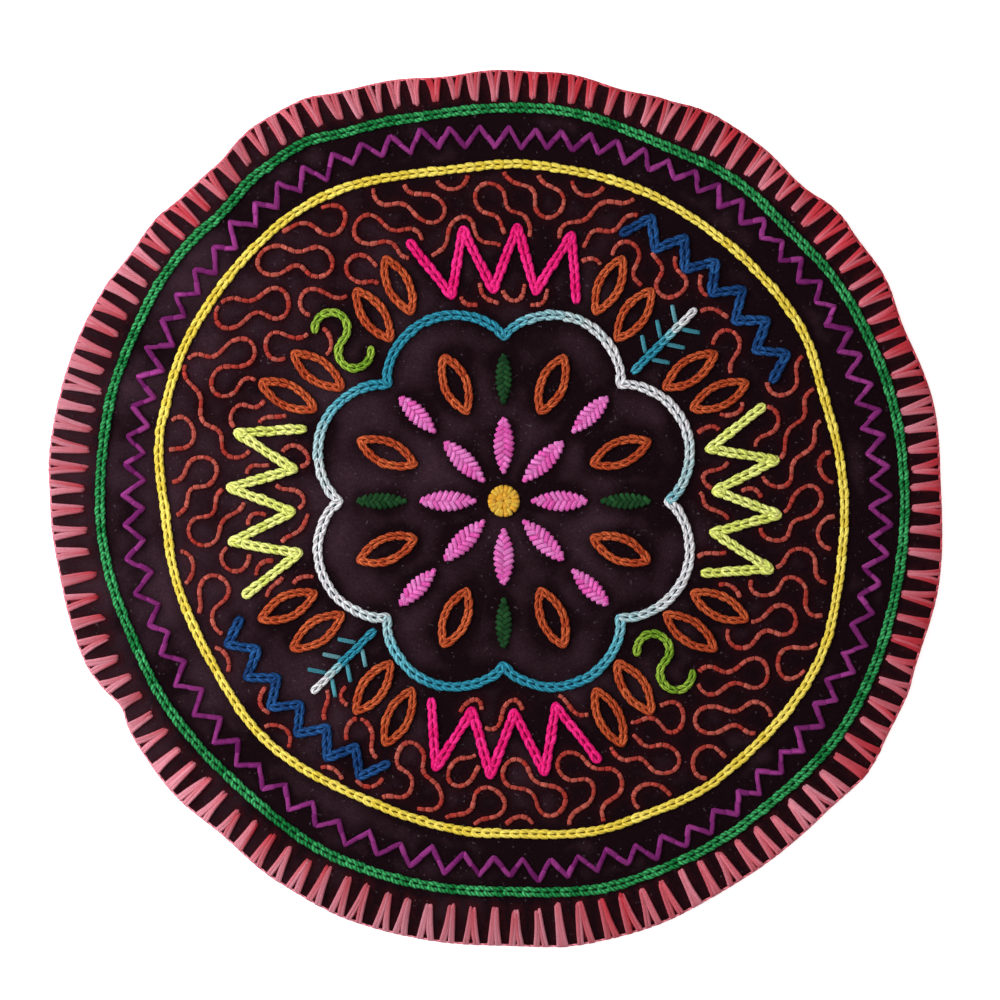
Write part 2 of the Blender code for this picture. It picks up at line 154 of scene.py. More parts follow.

# %% [markdown]
# Cloth under embroidery isn't flat. The rim rises in waves where the edging has stretched it, the chain
# rings draw it down along their lines, and soft creases run between. All of it is one function of the place,
# because the cloth and every stitch on it have to agree on the height. The creases are given one by one.

# %% The height of the cloth's face
FLAT_RADIUS = 108 * MM  # the solid is flat inside this
CLOTH_TOP = 1.5 * MM
RING_DIP = 0.25 * MM
RING_DIP_WIDTH = 2.6 * MM
CALM_SHARE = 0.35  # ripples start outside this share of the flat radius
CREASES = (
    # x_mm, y_mm, angle_deg, length_mm, width_mm, height_mm
    (-62, 20, 78, 46, 9, -0.35),
    (-40, -58, 40, 50, 11, 0.30),
    (30, 66, 12, 60, 8, -0.30),
    (58, -22, 105, 52, 10, 0.32),
    (12, -66, 160, 56, 9, -0.30),
    (2, 30, 92, 30, 7, 0.22),
    (-84, 62, 138, 36, 7, 0.40),
    (88, 58, 45, 40, 7, -0.40),
    (-96, -44, 62, 38, 8, -0.35),
    (70, -92, 132, 42, 8, 0.38),
    (104, -6, 88, 34, 6, 0.35),
    (-20, 104, 5, 44, 7, 0.35),
)
RIPPLES = (
    # waves round the mat, angle_deg, height_mm
    (23, 40, 0.16),
    (37, 110, 0.12),
    (58, 15, 0.08),
)


def top_at(x, y):
    """Height of the cloth's face at a place, or at many places at once."""
    angle = np.degrees(np.arctan2(y, x)) % FULL_TURN
    radius = np.hypot(x, y)
    share = np.clip((radius - FLAT_RADIUS) / (rim_radius(angle) - FLAT_RADIUS), 0, 1)
    height = CLOTH_TOP + rim_lift(angle) * share**2
    for middle in (green_middle, yellow_middle):
        height = height - RING_DIP * np.exp(-(((radius - middle(angle)) / RING_DIP_WIDTH) ** 2))
    for centre_x, centre_y, turn, length, width, rise in CREASES:
        along_x, along_y = math.cos(math.radians(turn)), math.sin(math.radians(turn))
        east, north = x - centre_x * MM, y - centre_y * MM
        along = (east * along_x + north * along_y) / (length / 2 * MM)
        across = (north * along_x - east * along_y) / (width / 2 * MM)
        height = height + rise * MM * np.exp(-(along**2) - across**2)
    outward = np.clip(radius / FLAT_RADIUS - CALM_SHARE, 0, 1)
    for waves, start, rise in RIPPLES:
        height = height + rise * MM * outward * np.sin(np.radians(waves * angle + start))
    return height


print("face at the middle:", round(float(top_at(0, 0)) / MM, 2), "mm")

# %% [markdown]
# ## Yarn
# Every stitch is a short piece of yarn. It could be a curve with a bevel, but a mesh that is extruded along
# its path gives a UV map with it: round the yarn in one direction and along it, in metres, in the other. The
# finish uses that for its fibres. One circle is extruded from point to point, and each new ring of corners
# is moved into place, flattened and widened as the yarn is.

# %% Extrude a circle along a path
YARN_SIDES = 6


def mesh_from(form, name):
    mesh = bpy.data.meshes.new(name)
    form.to_mesh(mesh)
    form.free()
    return mesh


def corner_sources(form, edges):
    """Extrudes open edges: each new corner with the corner it came from."""
    grown = bmesh.ops.extrude_edge_only(form, edges=edges)["geom"]
    fresh = {part for part in grown if isinstance(part, bmesh.types.BMVert)}
    pairs = {}
    for corner in fresh:
        pairs[next(o for o in (e.other_vert(corner) for e in corner.link_edges) if o not in fresh)] = corner
    return pairs


def yarn_mesh(name, path, widths, heights, sides=YARN_SIDES, closed=False):
    """A mesh of yarn along a path of (x, y, z) points, with its width and height at each point."""
    form = bmesh.new()
    bmesh.ops.create_circle(form, segments=sides, radius=1, cap_ends=False)
    ring = list(form.verts)
    rings = [ring]
    for _ in path[1:]:
        open_edges = [form.edges.get((ring[i - 1], ring[i])) for i in range(sides)]
        pairs = corner_sources(form, open_edges)
        ring = [pairs[corner] for corner in ring]
        rings.append(ring)
    places = np.array(path, float)
    before = np.roll(places, 1, axis=0)
    after = np.roll(places, -1, axis=0)
    if not closed:
        before[0] = places[0]
        after[-1] = places[-1]
    travelled = np.concatenate([[0], np.cumsum(np.linalg.norm(np.diff(places, axis=0), axis=1))])
    where = {}
    for index, ring in enumerate(rings):
        heading = after[index] - before[index]
        heading /= np.linalg.norm(heading)
        across = np.cross(heading, (0, 0, 1))
        across /= np.linalg.norm(across)
        upward = np.cross(across, heading)
        for side, corner in enumerate(ring):
            turned = 2 * math.pi * side / sides
            sideways = across * math.cos(turned) * widths[index] / 2
            corner.co = places[index] + (sideways + upward * math.sin(turned) * heights[index] / 2)
            where[corner] = (side / sides, travelled[index])
    if closed:
        ends = [form.edges.get((r[i - 1], r[i])) for r in (rings[0], rings[-1]) for i in range(sides)]
        bmesh.ops.bridge_loops(form, edges=ends)
    else:
        bmesh.ops.contextual_create(form, geom=rings[0])
        bmesh.ops.contextual_create(form, geom=rings[-1])
    bmesh.ops.recalc_face_normals(form, faces=form.faces)
    layer = form.loops.layers.uv.new("yarn")
    for face in form.faces:
        rounds = [where[loop.vert][0] for loop in face.loops]
        wraps = max(rounds) - min(rounds) > 0.5 and len(face.loops) == 4
        for loop, around in zip(face.loops, rounds):
            loop[layer].uv = (around + 1 if wraps and around < 0.5 else around, where[loop.vert][1])
    mesh = mesh_from(form, name)
    mesh.shade_smooth()
    return mesh


# %% [markdown]
# A chain stitch is a loop: the yarn comes up inside the loop before it, runs out in two legs that swell
# apart, and turns round in a head that the next loop holds down. One loop is modelled from half of its path,
# which is mirrored for the other leg. A straight stitch is a length of yarn that dips into the cloth at both
# ends; its length is 1, and it is stretched between its two holes.

# %% Model one chain loop and one straight stitch
HALF_LOOP = (
    # along (1 = one stitch), across (1 = half the chain), height_mm
    (-0.10, 0.30, -0.30),
    (0.04, 0.50, 0.60),
    (0.25, 0.82, 0.76),
    (0.55, 1.00, 0.66),
    (0.88, 0.98, 0.50),
    (1.12, 0.62, 0.34),
)
LOOP_HEAD = (1.20, 0.0, 0.30)
STRAIGHT = (
    # along (1 = whole stitch), height_mm, share of the width
    (0.00, -0.45, 0.72),
    (0.05, 0.18, 0.90),
    (0.20, 0.46, 1.00),
    (0.50, 0.52, 1.04),
    (0.80, 0.46, 1.00),
    (0.95, 0.18, 0.90),
    (1.00, -0.45, 0.72),
)


def chain_loop(name, pitch, chain_width, yarn_width, yarn_height):
    side = (chain_width - yarn_width) / 2
    half = [(along * pitch, across * side, height * MM) for along, across, height in HALF_LOOP]
    head = [(LOOP_HEAD[0] * pitch, 0, LOOP_HEAD[2] * MM)]
    path = half + head + [(x, -y, z) for x, y, z in reversed(half)]
    return yarn_mesh(name, path, [yarn_width] * len(path), [yarn_height] * len(path))


def straight_stitch(name, yarn_width, yarn_height, rise=1.0):
    path = [(along, 0, height * MM * rise) for along, height, _ in STRAIGHT]
    widths = [yarn_width * share for _, _, share in STRAIGHT]
    heights = [yarn_height * share for _, _, share in STRAIGHT]
    return yarn_mesh(name, path, widths, heights)


core = straight_stitch("chain_core", 1.7 * MM, 0.8 * MM)
print("corners in a straight stitch:", len(core.vertices))

# %% [markdown]
# A line that is sewn is measured along its length, so that stitches can follow each other at a stated pitch.
# A stitch's own corners are then bent onto the line: along it, across it and up from the cloth. That is what
# a Curve modifier does, but here the cloth's waves are followed too, and a thousand stitches take a second.

# %% Lines to sew along, and laying a stitch
LOOK_AHEAD = 0.5 * MM


class SewnLine:
    """A line on the cloth, with the place and the heading at any distance along it."""

    def __init__(self, points, closed=False):
        self.points = np.array(points, float)
        self.closed = closed
        if closed:
            self.points = np.vstack([self.points, self.points[:1]])
        steps = np.hypot(*np.diff(self.points, axis=0).T)
        self.marks = np.concatenate([[0], np.cumsum(steps)])
        self.length = self.marks[-1]

    def place(self, distance):
        distance = np.asarray(distance, float)
        kept = distance % self.length if self.closed else np.clip(distance, 0, self.length)
        place = np.stack([np.interp(kept, self.marks, self.points[:, axis]) for axis in (0, 1)], axis=-1)
        if not self.closed:
            first = self.points[1] - self.points[0]
            last = self.points[-1] - self.points[-2]
            way = np.where((distance < 0)[..., None], first / np.hypot(*first), last / np.hypot(*last))
            place = place + way * (distance - kept)[..., None]
        return place

    def heading(self, distance):
        way = self.place(np.asarray(distance) + LOOK_AHEAD) - self.place(np.asarray(distance) - LOOK_AHEAD)
        return way / np.hypot(way[..., 0], way[..., 1])[..., None]


def leftward(way):
    """The direction across a way, to its left."""
    return np.array((-way[1], way[0])) / np.hypot(*way)


def raised(flat, height):
    return np.column_stack([flat, top_at(flat[:, 0], flat[:, 1]) + height])


def on_line(line, start, stretch, widen, shift):
    """Lays a stitch along a line from a distance on it."""

    def lay(corners):
        distance = start + corners[:, 0] * stretch
        heading = line.heading(distance)
        across = np.column_stack([-heading[:, 1], heading[:, 0]])
        flat = line.place(distance) + across * (corners[:, 1] * widen + shift)[:, None]
        return raised(flat, corners[:, 2])

    return lay


def between(first, last, widen=1.0, lower=0.0, bow=0.0):
    """Lays a stitch of length 1 between two holes; a bow pushes its middle to one side."""
    way = last - first
    across = leftward(way)

    def lay(corners):
        sideways = corners[:, 1] * widen + bow * np.sin(np.pi * np.clip(corners[:, 0], 0, 1))
        flat = first + corners[:, :1] * way + sideways[:, None] * across
        return raised(flat, corners[:, 2] - lower)

    return lay


print("length of a trial line:", SewnLine([(0, 0), (3 * MM, 4 * MM)]).length / MM, "mm")

# %% [markdown]
# A row of stitches becomes one mesh. The modelled stitch is copied once for each place, then all corners are
# moved at once. Each stitch also gets a number of its own, called its tone, so that one stitch can be a
# little lighter than the next, as hand-dyed yarn is. A tone of 0 is kept for yarn that lies deep in the work:
# it takes a painted shade.
# The places of all stitches are remembered, because the cloth between them is finished last. A piece of
# yarn goes into the material slot that is named for its colour.

# %% Sew a row of stitches
FIBRE_SHIFT = 0.4  # metres of yarn from which each stitch's piece is cut
SPARSE = 7  # every so many corners of a stitch, its place is remembered
LOWEST_TONE = 0.22  # of a stitch that isn't deep in the work
CORE_LOWER = 0.24 * MM
sewn_places = {}


def in_scene(name, data):
    thing = bpy.data.objects.new(name, data)
    bpy.context.scene.collection.objects.link(thing)
    return thing


def mark(mesh, name, values):
    """Gives each corner of a mesh a number that its finish reads."""
    mesh.attributes.new(name, "FLOAT", "POINT").data.foreach_set("value", values.astype(np.float32))


def finished(piece_name, mesh, finish, nodes):
    """Puts a mesh in the scene, on the mat's body, in place of its CAD nodes."""
    mesh.materials.append(finish)
    piece = in_scene(piece_name, mesh)
    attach(piece, "root")
    if nodes:
        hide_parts(*nodes)
    mesh.calc_loop_triangles()
    print(f"{piece_name}: {len(mesh.loop_triangles)} triangles")
    return piece


def sew(piece_name, stitches, yarn, nodes, seed):
    """One piece from a list of (modelled stitch, lay, tone, which may vary from corner to corner)."""
    draw = random.Random(seed)
    form = bmesh.new()
    for stitch, _, _ in stitches:
        form.from_mesh(stitch)
    mesh = mesh_from(form, piece_name)
    own = {}
    for stitch, _, _ in stitches:
        if stitch.name not in own:
            own[stitch.name] = np.array([corner.co for corner in stitch.vertices], float)
    placed = [lay(own[stitch.name]) for stitch, lay, _ in stitches]
    sewn_places[piece_name] = np.concatenate([corners[::SPARSE] for corners in placed])
    mesh.vertices.foreach_set("co", np.concatenate(placed).ravel())
    tones = [np.broadcast_to(tone, len(stitch.vertices)) for stitch, _, tone in stitches]
    mark(mesh, "tone", np.concatenate(tones))
    spots = mesh.uv_layers["yarn"].uv
    places = np.zeros(2 * len(spots), np.float32)
    spots.foreach_get("vector", places)
    shifts = [draw.uniform(0, FIBRE_SHIFT) for _ in stitches]
    places[1::2] += np.repeat(shifts, [len(stitch.loops) for stitch, _, _ in stitches])
    spots.foreach_set("vector", places)
    mesh.shade_smooth()
    mesh.update()
    finished(piece_name, mesh, YARNS[yarn], nodes)


def chain_along(line, loop, pitch, draw, tone=None):
    """Chain stitches from end to end of a line, a whole number of them, with yarn lying deep inside each."""
    count = max(1, round(line.length / pitch))
    step = line.length / count
    made = []
    for number in range(count):
        start = step * number + draw.uniform(-0.05, 0.05) * pitch
        lay = on_line(line, start, step / pitch, draw.uniform(0.9, 1.08), draw.uniform(-0.10, 0.10) * MM)
        share = step * number / line.length
        made.append((loop, lay, tone(share) if tone else draw.uniform(LOWEST_TONE, 1)))
        first, last = line.place([step * number, step * (number + 1)])
        # Tone 0: the core is coloured with the ramp's painted shade.
        made.append((core, between(first, last, 1.0, CORE_LOWER), 0.0))
    return made


# %% [markdown]
# ## Finishes
# Shader maths reads best as plain expressions. One small class wraps a node's output and gives it the
# operators, and one method makes any other node from its settings and its sockets.

# %% Write shader maths as expressions


class Amount:
    """A value that changes over a surface; an expression on it adds Math nodes."""

    def __init__(self, finish, socket):
        self.finish = finish
        self.socket = socket

    def math(self, operation, first, second=0.0):
        return self.finish.node("ShaderNodeMath", {"operation": operation}, {0: first, 1: second})

    def __add__(self, other):
        return self.math("ADD", self, other)

    def __radd__(self, other):
        return self.math("ADD", other, self)

    def __sub__(self, other):
        return self.math("SUBTRACT", self, other)

    def __rsub__(self, other):
        return self.math("SUBTRACT", other, self)

    def __mul__(self, other):
        return self.math("MULTIPLY", self, other)

    def __rmul__(self, other):
        return self.math("MULTIPLY", other, self)

    def sine(self):
        return self.math("SINE", self)

    def cosine(self):
        return self.math("COSINE", self)

    def within(self):
        """The same value, kept between 0 and 1."""
        settings = {"operation": "ADD", "use_clamp": True}
        return self.finish.node("ShaderNodeMath", settings, {0: self, 1: 0.0})


class Finish:
    """A material and the one method that adds its nodes."""

    def __init__(self, name):
        self.material = bpy.data.materials.new(name)
        self.material.use_nodes = True
        self.tree = self.material.node_tree
        self.shader = self.tree.nodes["Principled BSDF"]

    def node(self, kind, settings=None, sockets=None, out=0):
        made = self.tree.nodes.new(kind)
        for setting, value in (settings or {}).items():
            if setting == "stops":
                stops = made.color_ramp.elements
                for number, (position, colour) in enumerate(value):
                    stop = stops[number] if number < 2 else stops.new(position)
                    stop.position = position
                    stop.color = (*colour, 1)
            else:
                setattr(made, setting, value)
        for socket, value in (sockets or {}).items():
            if isinstance(value, Amount):
                self.tree.links.new(value.socket, made.inputs[socket])
            else:
                made.inputs[socket].default_value = value
        return Amount(self, made.outputs[out])

    def mix(self, first, second, share, blend="MIX"):
        settings = {"data_type": "RGBA", "blend_type": blend}
        return self.node("ShaderNodeMix", settings, {0: share, 6: first, 7: second}, out=2)

    def part(self, place, axis):
        return self.node("ShaderNodeSeparateXYZ", {}, {0: place}, out=axis)

    def marked(self, name):
        return self.node("ShaderNodeAttribute", {"attribute_name": name}, out=2)

    def noise(self, place, scale, detail=2.0):
        return self.node("ShaderNodeTexNoise", {}, {"Vector": place, "Scale": scale, "Detail": detail})

    def feed(self, socket, amount):
        self.tree.links.new(amount.socket, self.shader.inputs[socket])

    def bump(self, height, strength, distance):
        sockets = {"Height": height, "Strength": strength, "Distance": distance}
        self.feed("Normal", self.node("ShaderNodeBump", {}, sockets))

    def fixed(self, **values):
        for name, value in values.items():
            self.shader.inputs[name.replace("_", " ")].default_value = value


def screen(red, green, blue):
    """A colour as a screen shows it, 0 to 255, turned into the renderer's light values."""
    light = []
    for part in (red, green, blue):
        part /= 255
        light.append(part / 12.92 if part <= 0.04045 else ((part + 0.055) / 1.055) ** 2.4)
    return tuple(light)


# %% [markdown]
# Embroidery yarn is a loose twist of a few plies, of many cotton fibres each. The plies run slanting round
# it, so they are one wave of the place round the yarn plus the place along it, bent by the fibres. The
# fibres are noise on a place that turns as it goes: cosine and sine close it round the yarn. Hollows are
# lower, and their colour is darkened as painted shade. The tone of each stitch picks its colour from a
# short ramp, whose first stop is painted shade for yarn in shadow. Tight, loose and satin yarns differ in
# how far their plies turn and how much they shine.

# %% The finish of the yarn
FIBRES_ROUND = 2.2
# Painted shade for the hollows between the plies.
HOLLOW_SHADE = (0.32, 0.18, 0.20, 1)


def yarn_finish(
    name, stops, shade=1.0, plies=3, turn=7.0, fibre=2.4, bend=3.0, relief=0.22, roughness=0.62, gloss=0.12
):
    """A finish for yarn of so many plies; a turn of them, a fibre and the relief are in millimetres."""
    finish = Finish(name)
    place = finish.node("ShaderNodeUVMap", {"uv_map": "yarn"})
    along = finish.part(place, 1)
    turned = finish.part(place, 0) * (2 * math.pi) + along * (2 * math.pi / (turn * MM))
    sockets = {0: turned.cosine() * FIBRES_ROUND, 1: turned.sine() * FIBRES_ROUND}
    sockets[2] = along * (1 / (fibre * MM))
    fibres = finish.noise(finish.node("ShaderNodeCombineXYZ", {}, sockets), 1.6, 3.0)
    plied = (turned * plies + fibres * bend).sine()
    strands = plied * 0.40 + (fibres - 0.5) * 1.5 + 0.62
    ramp = finish.node("ShaderNodeValToRGB", {"stops": stops}, {0: finish.marked("tone")})
    # Painted shade: the colour is darkened in the hollows between the plies.
    colour = finish.mix(ramp, HOLLOW_SHADE, ((1 - strands) * shade).within(), "MULTIPLY")
    finish.feed("Base Color", colour)
    finish.feed("Roughness", (fibres * 0.25 + (roughness - 0.12)).within())
    finish.bump(strands.within(), 0.8, relief * MM)
    finish.fixed(Specular_IOR_Level=gloss)
    return finish.material


def two_tone(name, dark, light, shadow_share=0.46, **ways):
    shadow = screen(*(part * shadow_share for part in dark))
    return yarn_finish(name, [(0.0, shadow), (LOWEST_TONE, screen(*dark)), (1.0, screen(*light))], **ways)


TIGHT = {"plies": 2, "turn": 2.8, "bend": 2.4}
LOOSE = {"plies": 3, "turn": 9.0, "fibre": 4.0, "bend": 1.5}
SATIN = {"shade": 0.5, "relief": 0.12, "roughness": 0.45, "gloss": 0.5}
YARNS = {
    "green": two_tone("green_cotton", (4, 124, 56), (62, 182, 106), shade=1.2, **TIGHT),
    "purple": two_tone("purple_cotton", (140, 32, 128), (204, 80, 184), plies=2, turn=5.0, bend=1.5),
    "yellow": two_tone("yellow_cotton", (226, 202, 66), (248, 230, 104), shade=0.5),
    "rust": two_tone("rust_cotton", (176, 68, 32), (204, 98, 54), shadow_share=0.6),
    "neon": two_tone("neon_cotton", (216, 230, 106), (244, 255, 148), shadow_share=0.6, shade=0.8),
    "hot_pink": two_tone("hot_pink_cotton", (224, 12, 110), (246, 42, 138), shadow_share=0.78, shade=0.6),
    "blue": two_tone("blue_cotton", (8, 56, 112), (32, 88, 150), shadow_share=0.6),
    "lime": two_tone("lime_cotton", (112, 160, 36), (154, 194, 66)),
    "red": two_tone("red_cotton", (222, 58, 46), (255, 136, 118), shade=1.2, **TIGHT),
    "pink": two_tone("pink_satin_cotton", (252, 88, 198), (255, 142, 226), **SATIN),
    "gold": two_tone("gold_satin_cotton", (255, 184, 34), (255, 216, 72), **SATIN),
    "leaf_green": two_tone("leaf_green_cotton", (20, 74, 34), (44, 108, 56)),
}
# The first stop is the painted shade of yarn that lies deep.
SALMON_STOPS = [
    (0.0, screen(116, 22, 30)),
    (LOWEST_TONE, screen(226, 62, 76)),
    (1.0, screen(255, 170, 188)),
]
YARNS["salmon"] = yarn_finish("salmon_floss", SALMON_STOPS, shade=1.15, relief=0.09, **LOOSE)
YARNS["salmon_cord"] = yarn_finish("salmon_cotton", SALMON_STOPS, plies=2, turn=4.5, relief=0.14)
# The first stop is the painted shade of yarn that lies deep.
TURQUOISE_STOPS = [
    (0.0, screen(14, 62, 78)),
    (0.12, screen(42, 144, 170)),
    (0.4, screen(94, 186, 203)),
    (0.7, screen(180, 213, 216)),
    (1.0, screen(227, 233, 236)),
]
YARNS["turquoise"] = yarn_finish("turquoise_fading_cotton", TURQUOISE_STOPS, shade=0.9)
print("yarns:", len(YARNS))

# %% [markdown]
# The cloth is black cotton, painted a warm brown towards the left, where the light comes from, and towards
# the middle: painted light. Cloudy noise makes it uneven: painted light and shade of its soft creases, with
# uneven fading. Its weave is finer than the eye sees at this distance, so it only breaks up the light: two
# crossed waves, bent a little by noise, feed the bump. Along the yarn it is darker: painted shade. Beside
# the pink and red yarn it is reddened: a painted reflection of that yarn. A few pale specks of lint cling
# to it.

# %% The finish of the cloth
THREAD = 2 * math.pi / (0.62 * MM)
CLOTH_DARK = (*screen(18, 4, 9), 1)
# A paler colour for painted light and for fading.
CLOTH_PALE = (*screen(54, 34, 43), 1)
# Red for a painted reflection of the pink and red yarn.
RED_REFLECTION = (*screen(62, 14, 20), 1)
LINT = (*screen(96, 82, 92), 1)
GRAIN_SHADE = (0.35, 0.33, 0.34, 1)


def cloth_finish():
    finish = Finish("black_cotton_cloth")
    place = finish.node("ShaderNodeTexCoord", out=3)
    x = finish.part(place, 0)
    y = finish.part(place, 1)
    wander = finish.noise(place, 160, 2.0) * 6.0
    weave = (x * THREAD + wander).sine() * (y * THREAD + wander).sine() * 0.5 + 0.5
    cloudy = finish.noise(place, 46, 4.0)
    # Paler towards the left and the middle: painted light. Cloudy patches: painted light and shade of soft
    # creases, with uneven fading. Darker near yarn: painted shade.
    paleness = (0.42 - x * 2.9 - y * y * 18 + (cloudy - 0.5) * 2.6 - finish.marked("shade_near_yarn") * 0.42).within()
    colour = finish.mix(CLOTH_DARK, CLOTH_PALE, paleness)
    # Red beside the pink and red yarn: a painted reflection.
    colour = finish.mix(colour, RED_REFLECTION, finish.marked("red_reflection_near") * 0.5)
    grain = finish.noise(place, 1500, 2.0)
    colour = finish.mix(colour, GRAIN_SHADE, ((grain - 0.35) * 1.6).within(), "MULTIPLY")
    specks = ((finish.noise(place, 900, 3.0) - 0.67) * 12).within()
    colour = finish.mix(colour, LINT, specks * 0.45)
    finish.feed("Base Color", colour)
    finish.feed("Roughness", (grain * 0.2 + 0.78).within())
    finish.bump(weave * 0.5 + grain * 0.6, 0.5, 0.12 * MM)
    finish.fixed(Specular_IOR_Level=0.05)
    return finish.material


CLOTH = cloth_finish()
print("finish of the cloth:", len(CLOTH.node_tree.nodes), "nodes")

# %% [markdown]
# ## The cloth
# The round is spun: a line of edges from the middle outwards turns once round, which gives even rows out to
# the rim. Each corner is then moved out to the cut edge and up to the height of the face. Solidify gives the
# sheet its thickness downwards, so the face stays where the yarn expects it.

# %% Spin the round of cloth
CLOTH_ROWS = 92
CLOTH_SPOKES = 400
CLOTH_THICKNESS = 1.0 * MM
TURNED_IN = 0.45 * MM  # the cut edge lies this far inside the purl's outer side

form = bmesh.new()
ends = [form.verts.new((0, 0, 0)), form.verts.new((1, 0, 0))]
bmesh.ops.subdivide_edges(form, edges=[form.edges.new(ends)], cuts=CLOTH_ROWS - 1)
spun = {"cent": (0, 0, 0), "axis": (0, 0, 1), "angle": 2 * math.pi, "steps": CLOTH_SPOKES, "use_merge": True}
bmesh.ops.spin(form, geom=list(form.verts) + list(form.edges), **spun)
bmesh.ops.remove_doubles(form, verts=form.verts, dist=1e-5)
bmesh.ops.recalc_face_normals(form, faces=form.faces)
if sum(face.normal.z for face in form.faces) < 0:
    bmesh.ops.reverse_faces(form, faces=form.faces)
mesh = mesh_from(form, "cloth_sheet")
cloth_spots = np.zeros(3 * len(mesh.vertices))
mesh.vertices.foreach_get("co", cloth_spots)
cloth_spots = cloth_spots.reshape(-1, 3)
angles = np.degrees(np.arctan2(cloth_spots[:, 1], cloth_spots[:, 0])) % FULL_TURN
cloth_spots[:, :2] *= (rim_radius(angles) - TURNED_IN)[:, None]
cloth_spots[:, 2] = top_at(cloth_spots[:, 0], cloth_spots[:, 1])
mesh.vertices.foreach_set("co", cloth_spots.ravel())
mesh.shade_smooth()
mesh.update()
cloth = finished("cloth_sheet", mesh, CLOTH, ["cloth_round"])
thickness = cloth.modifiers.new("thickness", "SOLIDIFY")
thickness.thickness = CLOTH_THICKNESS
thickness.offset = -1

# %% [markdown]
# ## The edging
# Blanket stitch goes over the rim in pairs of legs that share one hole on the cloth, and a thin purl of yarn
# lies along the rim and ties their feet. Hand work is uneven: pairs stand wider or closer, and lean. The yarn
# is doubled, so each leg is two strands side by side that come up over the edge from below. A pair's legs lie
# together near their hole and part towards the rim. The yarn is painted lighter on the side of the mat that
# faces the light, most of all towards the rim, and darker and redder on the other: painted light and shade on
# the rim's slopes.

# %% Sew the blanket stitch
LEG_WIDTH = 1.46 * MM
LEG_HEIGHT = 1.15 * MM
FOOT_HALF = 1.35 * MM  # half the distance between a pair's feet, times one of the spreads
FOOT_SPREADS = (0.62, 0.9, 1.0, 1.15, 1.3)
FOOT_IN = 0.55 * MM
TIP_HALF = 0.40 * MM
STRANDS_APART = 0.44 * MM  # half the distance between a leg's strands at the rim
TIPS_APART = 0.2 * MM
DRAWN_IN = 0.22  # mm that a leg's middle is drawn towards the pair's
LOW_STRAND = 0.55 * MM  # how much deeper the strand between a pair's legs lies
LOW_IN = 1.3 * MM
MEAN_DYE = 0.60
SIDE_LIGHT = 0.16
DYE_WAVES = ((7, 40, 0.12), (19, 200, 0.10))  # waves round the mat, angle_deg, tone
DYE_STRAY = 0.22
LIT_SIDE_ANGLE = 215  # degrees
RIM_LIGHT_TONE = 0.55  # tone gained from the hole to the rim on the side that faces the light: painted light
LEG_PATH = (
    # along (1 = whole leg), height_mm, share of the width
    (-0.035, -0.75, 0.60),
    (-0.045, -0.10, 0.78),
    (0.03, 0.42, 0.90),
    (0.25, 0.50, 1.00),
    (0.50, 0.52, 1.05),
    (0.75, 0.50, 1.00),
    (0.92, 0.42, 0.86),
    (0.985, 0.10, 0.62),
    (1.02, -0.50, 0.36),
)


def around(angle, radius):
    turned = math.radians(angle)
    return np.array((radius * math.cos(turned), radius * math.sin(turned)))


def lit_side(angle):
    """1 on the side of the mat that faces the light, -1 on the other; it steers painted light and shade."""
    return math.cos(math.radians(angle - LIT_SIDE_ANGLE))


path = [(along, 0, height * MM) for along, height, _ in LEG_PATH]
shares = [share for _, _, share in LEG_PATH]
leg = yarn_mesh("leg", path, [LEG_WIDTH * s for s in shares], [LEG_HEIGHT * s for s in shares])
leg_along = np.array([corner.co.x for corner in leg.vertices])
draw = random.Random(21)
stitches = []
for angle, end_radius in stitch_ends:
    foot_radius = float(rim_radius(angle)) - FOOT_IN
    degree = math.degrees(1 / foot_radius)
    spread = FOOT_HALF * draw.choice(FOOT_SPREADS)
    lean = draw.uniform(-0.6, 0.6) * MM
    middle = angle + draw.uniform(-0.35, 0.35) * MM * degree
    # A pair's tone: a mean dye and slow waves round the mat, plus painted light by the side of the mat.
    dye_and_light = MEAN_DYE + SIDE_LIGHT * lit_side(angle)
    for waves, start, strength in DYE_WAVES:
        dye_and_light += strength * math.sin(math.radians(waves * angle + start))
    for side in (-1, 1):
        foot = middle + (side * spread + lean) * degree
        tip = middle + side * TIP_HALF * degree
        bow = side * DRAWN_IN + draw.uniform(-0.2, 0.2)
        for strand in (-1, 1):
            start = foot + strand * STRANDS_APART * degree
            first = around(start, float(rim_radius(start)) - FOOT_IN)
            last = around(tip + strand * TIPS_APART * degree, end_radius + draw.uniform(-0.4, 0.5) * MM)
            lower = draw.uniform(0, 0.15) * MM
            lay = between(first, last, draw.uniform(0.8, 1.1), lower, (bow + draw.uniform(-0.12, 0.12)) * MM)
            # Towards the rim the tone rises on the side that faces the light and falls on the other: painted
            # light and shade.
            tone = dye_and_light + draw.uniform(-DYE_STRAY, DYE_STRAY) + RIM_LIGHT_TONE * lit_side(angle) * (0.5 - leg_along)
            stitches.append((leg, lay, np.clip(tone, LOWEST_TONE, 1)))
    # A lower strand inside each pair takes tone 0, the ramp's painted shade.
    inset = float(rim_radius(middle)) - FOOT_IN
    low_end = around(angle, (end_radius * 2 + inset) / 3)
    stitches.append((leg, between(around(middle, inset - LOW_IN), low_end, 2.0, LOW_STRAND), 0.0))
edging_nodes = ["edging_blanket_stitch"]
sew("edging_legs", stitches, "salmon", edging_nodes, seed=3)

# %% Lay the purl along the rim
PURL_STEPS = 840
PURL_WIDTH = 0.95 * MM
PURL_HEIGHT = 1.2 * MM
PURL_SIDE_LIGHT = 0.25

